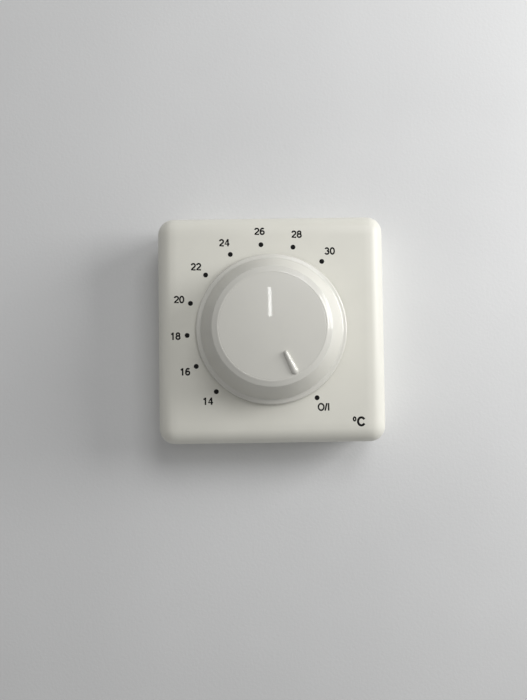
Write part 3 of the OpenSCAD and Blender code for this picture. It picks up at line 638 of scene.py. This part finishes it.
def cover_collar():
    """Bearing collar for the shaft, on the front face under the knob."""
    bm = bmesh.new()
    profile = [
        (COLLAR_BORE, COLLAR_ROOT),
        (COLLAR_BORE, COLLAR_TOP - COLLAR_BREAK),
        (COLLAR_BORE + COLLAR_BREAK, COLLAR_TOP),
        (COLLAR_R - COLLAR_BREAK, COLLAR_TOP),
        (COLLAR_R, COLLAR_TOP - COLLAR_BREAK),
        (COLLAR_R, COLLAR_ROOT),
        (COLLAR_BORE, COLLAR_ROOT),
    ]
    turned(bm, profile, 64)
    return make_piece("cover_collar", bm, "case", "cover_plastic", ["front_cover"])


def cover_boss():
    """Sunk seat and boss of the screw that holds the cover."""
    bm = bmesh.new()
    seat = SCREW_TOP - SEAT_DROP
    profile = [
        (BOSS_BORE, BOSS_BACK),
        (BOSS_R, BOSS_BACK),
        (BOSS_R, BOSS_ROOT),
        (SEAT_R, BOSS_ROOT),
        (SEAT_R, seat),
        (BOSS_BORE, seat),
        (BOSS_BORE, BOSS_BACK),
    ]
    turned(bm, profile, 48, SCREW_AT)
    return make_piece("cover_screw_boss", bm, "case", "cover_plastic", ["front_cover"])


def knob():
    """Turned knob with a foot flange, a tapered flank, hub, webs and pointer."""
    bm = bmesh.new()
    turned(bm, knob_outside() + knob_inside(), KNOB_STEPS)
    for number in range(WEB_COUNT):
        add_web(bm, POINTER_ANGLE + math.radians((number + 0.5) * 360 / WEB_COUNT))
    add_pointer(bm)
    return make_piece("knob_body", bm, "dial", "knob_plastic", ["knob"], 30)


def arc(centre, reach, first, last, steps=0):
    """Points of an oval run from one direction to another, in degrees."""
    steps = steps or max(4, round(abs(last - first) / 12))
    turns = [math.radians(first + (last - first) * step / steps) for step in range(steps + 1)]
    return [(centre[0] + reach[0] * math.cos(turn), centre[1] + reach[1] * math.sin(turn)) for turn in turns]


def crown(radius):
    """Level of the slightly domed top at a radius."""
    return KNOB_TOP - CROWN * (radius / SHOULDER_R) ** 2


def softened(before, corner, after, radius):
    """Points of a corner of the half section, rounded to a radius."""
    back = (before - corner).normalized()
    ahead = (after - corner).normalized()
    half = back.angle(ahead) / 2
    centre = corner + (back + ahead).normalized() * (radius / math.sin(half))
    first = (corner + back * (radius / math.tan(half)) - centre).normalized()
    last = (corner + ahead * (radius / math.tan(half)) - centre).normalized()
    return [tuple(centre + first.slerp(last, step / 6) * radius) for step in range(7)]


def knob_outside():
    """Half section from the middle of the top, over groove, rim and flank, to the flange's edge."""
    level = crown(RIM_R)
    inner = Vector((RIM_R - 1, crown(RIM_R - 1)))
    rim = Vector((RIM_R, level))
    band = Vector((STEP_R, level - STEP_DROP))
    shoulder = Vector((SHOULDER_R, level - SHOULDER_DROP))
    foot = Vector((FOOT_R, KNOB_BACK + FOOT_H))
    dome = (0.0, 2.5, 5.0, 7.5, 10.0, 12.5, 15.0, 17.0, GROOVE_R - GROOVE_HALF)
    points = [(radius, crown(radius)) for radius in dome]
    points.append((GROOVE_R, crown(GROOVE_R) - GROOVE_DEPTH))
    points.append((GROOVE_R + GROOVE_HALF, crown(GROOVE_R + GROOVE_HALF)))
    points += softened(inner, rim, band, RIM_ROUND)
    points += softened(rim, band, shoulder, RIM_ROUND)
    points += softened(band, shoulder, foot, SHOULDER_ROUND)
    bottom = Vector(points[-1])
    points += [tuple(bottom.lerp(foot, share)) for share in (0.02, 0.35, 0.7, 1.0)]
    for step in range(1, FLARE_STEPS + 1):
        turn = math.radians(step * 90 / FLARE_STEPS)
        radius = FOOT_R + (FLANGE_R - LIP_ROUND - FOOT_R) * (1 - math.cos(turn))
        points.append((radius, foot.y - (foot.y - KNOB_BACK - LIP_TOP) * math.sin(turn)))
    lip = (FLANGE_R - LIP_ROUND, KNOB_BACK + LIP_TOP - LIP_ROUND)
    points += arc(lip, (LIP_ROUND, LIP_ROUND), 75, 0, 5)
    return points


def knob_inside():
    """Half section of the hollow, from the flange's back to the hub's bore."""
    roof = KNOB_TOP - ROOF_T
    hub_end = COLLAR_TOP + HUB_GAP
    bore_end = roof - 0.15
    return [
        (FLANGE_R, KNOB_BACK + LIP_BREAK),
        (FLANGE_R - LIP_BREAK, KNOB_BACK),
        (MOUTH_R, KNOB_BACK),
        (MOUTH_R - 0.1, KNOB_BACK + 0.1),
        (HOLLOW_R, roof - 0.4),
        (HOLLOW_R - 0.4, roof),
        (HUB_R + 0.3, roof),
        (HUB_R, roof - 0.3),
        (HUB_R, hub_end + BORE_BREAK),
        (HUB_R - BORE_BREAK, hub_end),
        (BORE_R + BORE_BREAK, hub_end),
        (BORE_R, hub_end + BORE_BREAK),
        (BORE_R, bore_end),
        (0.0, bore_end),
    ]


def add_web(bm, angle):
    """Rib under the knob's top, from the hub to the flank."""
    made = bmesh.ops.create_cube(bm, size=1)["verts"]
    bmesh.ops.scale(bm, vec=WEB_SIZE, verts=made)
    bmesh.ops.translate(bm, vec=(WEB_MID, 0, KNOB_TOP - WEB_DROP), verts=made)
    bmesh.ops.rotate(bm, cent=CENTRE, matrix=Matrix.Rotation(angle, 3, "Z"), verts=made)


def add_pointer(bm):
    """Half round rib on the knob's top that widens outwards."""
    drop = crown(POINTER_NEAR) - crown(POINTER_FAR)
    sunk = crown(POINTER_NEAR) - POINTER_SUNK
    loops = []
    made = []
    for side, reach, width, level in (
        (1, POINTER_NEAR, POINTER_NEAR_W, sunk),
        (-1, POINTER_FAR, POINTER_FAR_W, sunk - drop),
    ):
        half = width / 2
        end = bmesh.ops.create_uvsphere(bm, u_segments=32, v_segments=16, radius=1)["verts"]
        beyond = [v for v in end if v.co.x * side > 0.001]
        bmesh.ops.delete(bm, geom=beyond, context="VERTS")
        end = [v for v in end if v.is_valid]
        rim = {e for v in end for e in v.link_edges if e.is_boundary}
        bmesh.ops.scale(bm, vec=(half, half, POINTER_TOP - sunk), verts=end)
        bmesh.ops.translate(bm, vec=(reach + half * side, 0, level), verts=end)
        loops += list(rim)
        made += end
    bmesh.ops.bridge_loops(bm, edges=loops)
    bmesh.ops.rotate(bm, cent=CENTRE, matrix=Matrix.Rotation(POINTER_ANGLE, 3, "Z"), verts=made)


# ---- Dial print ----

# The scale turns backwards from its first mark, in degrees, and has one more mark for off
PRINT_T = 0.03
PRINT_AT = Vector((-0.25, 0.56, 0))
DOT_R = 0.91
MARK_R = 31.24
MARK_FIRST = 228.94
MARK_STEP = 22.17
MARK_OFF = -57.4
MARK_COUNT = 9
LOWEST = 14
RISE = 2

# Labels stand further out the nearer they are to top or bottom
LABEL_SHIFT = Vector((0.05, 0.12, 0))
LABEL_R = 35.5
LABEL_R_UPRIGHT = 0.7
LABEL_R_OFF = 35.45
LABEL_SIZE = (2.55, 2.75)
LABEL_STROKE = 0.112

# The unit's two signs, each with its place, size and stroke
UNIT = (
    ("\u00b0", Vector((30.35, -34.84, 0)), (3.45, 3.45), 0.08),
    ("C", Vector((32.75, -34.84, 0)), (3.4, 3.4), 0.125),
)

# Middle lines of the strokes of each sign, one unit tall, after its advance
SIGNS = {
    "0": (0.78, [arc((0.37, 0.5), (0.28, 0.415), 0, 360)]),
    "1": (0.78, [[(0.42, 0), (0.42, 1)], [(0.42, 0.91), (0.3, 0.81), (0.15, 0.73)]]),
    "2": (0.78, [arc((0.37, 0.68), (0.27, 0.235), 172, -38) + [(0.15, 0.17), (0.1, 0.085), (0.7, 0.085)]]),
    "3": (0.78, [arc((0.35, 0.71), (0.24, 0.205), 160, -90), arc((0.35, 0.31), (0.275, 0.225), 90, -162)]),
    "4": (0.78, [[(0.53, 0), (0.53, 1)], [(0.5, 0.93), (0.1, 0.31), (0.74, 0.31)]]),
    "6": (0.78, [arc((0.38, 0.32), (0.27, 0.235), 0, 360), arc((0.42, 0.44), (0.31, 0.475), 190, 52)]),
    "8": (0.78, [arc((0.37, 0.72), (0.225, 0.195), 0, 360), arc((0.37, 0.305), (0.275, 0.22), 0, 360)]),
    "O": (1.06, [arc((0.49, 0.5), (0.4, 0.44), 0, 360)]),
    "/": (0.44, [[(0.0, 0), (0.27, 1)]]),
    "I": (0.2, [[(0.08, 0), (0.08, 1)]]),
    "\u00b0": (0.48, [arc((0.2, 0.8), (0.124, 0.207), 0, 360)]),
    "C": (0.8, [arc((0.42, 0.53), (0.367, 0.435), 30, 330)]),
}


def dial_print():
    """Black dots and lettering printed on the front face."""
    bm = bmesh.new()
    marks = [(str(LOWEST + RISE * place), MARK_FIRST - MARK_STEP * place) for place in range(MARK_COUNT)]
    for words, degrees in marks + [("O/I", MARK_OFF)]:
        turn = math.radians(degrees)
        away = Vector((math.cos(turn), math.sin(turn), 0))
        spot = Matrix.Translation(PRINT_AT + away * MARK_R + OUT * FACE)
        made = bmesh.ops.create_circle(bm, cap_ends=True, radius=DOT_R, segments=32, matrix=spot)["verts"]
        raised = bmesh.ops.extrude_face_region(bm, geom=[made[0].link_faces[0]])["geom"]
        bmesh.ops.translate(bm, vec=(0, 0, PRINT_T), verts=only_verts(raised))
        label_r = LABEL_R_OFF if words == "O/I" else LABEL_R + LABEL_R_UPRIGHT * abs(away.y)
        letter(bm, words, PRINT_AT + LABEL_SHIFT + away * label_r, LABEL_SIZE, LABEL_STROKE)
    for words, centre, size, stroke in UNIT:
        letter(bm, words, centre, size, stroke)
    settle(bm.verts, 0)
    return make_piece("dial_print", bm, "case", "carbon_ink")


def letter(bm, words, centre, size, stroke):
    """Adds a label of that em width and height, drawn with a round nib, flat on the face."""
    curve = bpy.data.curves.new("label", "CURVE")
    curve.dimensions = "3D"
    curve.bevel_depth = stroke
    curve.bevel_resolution = 2
    curve.use_fill_caps = True
    start = 0
    for sign in words:
        advance, strokes = SIGNS[sign]
        for points in strokes:
            line = curve.splines.new("POLY")
            line.points.add(len(points) - 1)
            for point, (across, up) in zip(line.points, points):
                point.co = (start + across, up, 0, 1)
        start += advance
    carrier = bpy.data.objects.new("label", curve)
    bpy.context.scene.collection.objects.link(carrier)
    shape = carrier.evaluated_get(bpy.context.evaluated_depsgraph_get())
    mesh = bpy.data.meshes.new_from_object(shape)
    bpy.data.objects.remove(carrier)
    low = min(v.co.x for v in mesh.vertices)
    high = max(v.co.x for v in mesh.vertices)
    fit = Matrix.Diagonal((size[0], size[1], PRINT_T / stroke, 1))
    place = Matrix.Translation(centre + OUT * FACE)
    mesh.transform(place @ fit @ Matrix.Translation((-(low + high) / 2, -0.5, 0)))
    bm.from_mesh(mesh)
    bpy.data.meshes.remove(mesh)


# ---- Room ----

# Wall in millimetres; camera in metres and degrees
OPENING_GAP = 0.05
OPENING_CORNER = 5.2
WALL_LEVEL = 0.1
WALL_SCALE = 40
CHIP_MM = 36
LENS_MM = 27.26
LENS_AT = (-0.00362, -(FACE / 1000 + 0.19703), -0.01322)
LENS_TURN = (91.585, -0.162, -0.797)


def wall():
    """Pale wall with an opening the size of the thermostat's back; only its front shows."""
    finish = new_finish("painted wall")
    stipple = finish.noise(1.2, 3.0)
    patchy = finish.spread(finish.noise(60, 2.0), 0.0, 1.0)
    paint = finish.blend(patchy, shade(224, 225, 226), shade(228, 229, 230))
    sockets = {"Base Color": paint, "Roughness": 0.8, "Normal": finish.bump(stipple, 0.05)}
    matt = finish.add("ShaderNodeBsdfPrincipled", {}, sockets)
    behind = finish.add("ShaderNodeNewGeometry", {}, {}, "Backfacing")
    clear = finish.add("ShaderNodeBsdfTransparent", {}, {})
    both = finish.add("ShaderNodeMixShader", {}, {0: behind, 1: matt, 2: clear})
    finish.add("ShaderNodeOutputMaterial", {}, {"Surface": both})
    bm = bmesh.new()
    bmesh.ops.create_grid(bm, x_segments=1, y_segments=1, size=BASE_HALF + OPENING_GAP)
    bmesh.ops.bevel(
        bm,
        geom=bm.verts,
        offset=OPENING_CORNER,
        segments=8,
        profile=0.5,
        affect="VERTICES",
        material=-1,
    )
    bmesh.ops.translate(bm, vec=(0, 0, WALL_LEVEL), verts=bm.verts)
    opening = list(bm.faces)
    outer = only_verts(bmesh.ops.extrude_edge_only(bm, edges=list(bm.edges))["geom"])
    bmesh.ops.scale(bm, vec=(WALL_SCALE, WALL_SCALE, 1), verts=outer)
    bmesh.ops.delete(bm, geom=opening, context="FACES_ONLY")
    for face in bm.faces:
        face.normal_update()
    if sum(face.normal.z for face in bm.faces) < 0:
        bmesh.ops.reverse_faces(bm, faces=bm.faces)
    surface = stood_up("wall", bm, finish.owner)


def lamp(name, place, size, power, colour=(1, 1, 1)):
    """Rectangular lamp at a place in front of the wall, in metres, aimed at the face's middle."""
    light = bpy.data.lights.new(name, "AREA")
    light.shape = "RECTANGLE"
    light.size, light.size_y = size
    light.energy = power
    light.color = colour
    stand = bpy.data.objects.new(name, light)
    bpy.context.scene.collection.objects.link(stand)
    at = Vector((place[0], -place[2], place[1]))
    aim = Vector((0, -FACE / 1000, 0)) - at
    stand.matrix_world = Matrix.Translation(at) @ aim.to_track_quat("-Z", "Y").to_matrix().to_4x4()


def from_side(turn, lift, far):
    """Place at that distance, turned up from the right and lifted off the wall, in degrees."""
    turn = math.radians(turn)
    lift = math.radians(lift)
    right = far * math.cos(turn) * math.cos(lift)
    up = far * math.sin(turn) * math.cos(lift)
    return right, up, far * math.sin(lift)


def room():
    """Wall, side window, soft box overhead, a thin tube and an even room light."""
    wall()
    lamp("window", from_side(17, 24, 0.55), (0.28, 0.28), 2.15, (1.0, 0.995, 0.985))
    lamp("soft box", from_side(62, 52, 0.7), (0.3, 0.3), 1.19)
    lamp("ceiling tube", (0.0147, 0.418, 1.978), (0.036, 0.337), 0.63)
    air = Finish(bpy.data.worlds.new("studio"))
    bpy.context.scene.world = air.owner
    rays = ("Is Camera Ray", "Is Glossy Ray", "Is Transmission Ray")
    straight, glossy, through = air.several("ShaderNodeLightPath", {}, rays)
    seen = straight + glossy + through
    fill = air.add("ShaderNodeBackground", {}, {"Color": (1.0, 0.99, 0.975, 1.0), "Strength": 0.24})
    backdrop = air.add("ShaderNodeBackground", {}, {"Color": (0.8, 0.8, 0.79, 1.0), "Strength": 1.0})
    both = air.add("ShaderNodeMixShader", {}, {0: seen, 1: fill, 2: backdrop})
    air.add("ShaderNodeOutputWorld", {}, {"Surface": both})


def camera():
    """Camera close in front of the face, a little below its middle."""
    lens = bpy.data.cameras.new("camera")
    lens.sensor_width = CHIP_MM
    lens.lens = LENS_MM
    lens.clip_start = 0.01
    view = bpy.data.objects.new("camera", lens)
    bpy.context.scene.collection.objects.link(view)
    turn = Matrix.Identity(4)
    for degrees, axis in zip(LENS_TURN, "XYZ"):
        turn = turn @ Matrix.Rotation(math.radians(degrees), 4, axis)
    view.matrix_world = Matrix.Translation(LENS_AT) @ turn
    bpy.context.scene.camera = view
    bpy.context.scene.view_settings.view_transform = "Standard"


def dress_nodes():
    """Gives every node of the frame its finish."""
    slots = {part["node"]: part["material_slot"] for part in frame["record"]["subparts"]}
    for name, node in frame["nodes"].items():
        node.data.materials.clear()
        node.data.materials.append(FINISHES[slots[name]])


camera()
dress_nodes()
front_cover()
cover_collar()
cover_boss()
knob()
dial_print()
room()
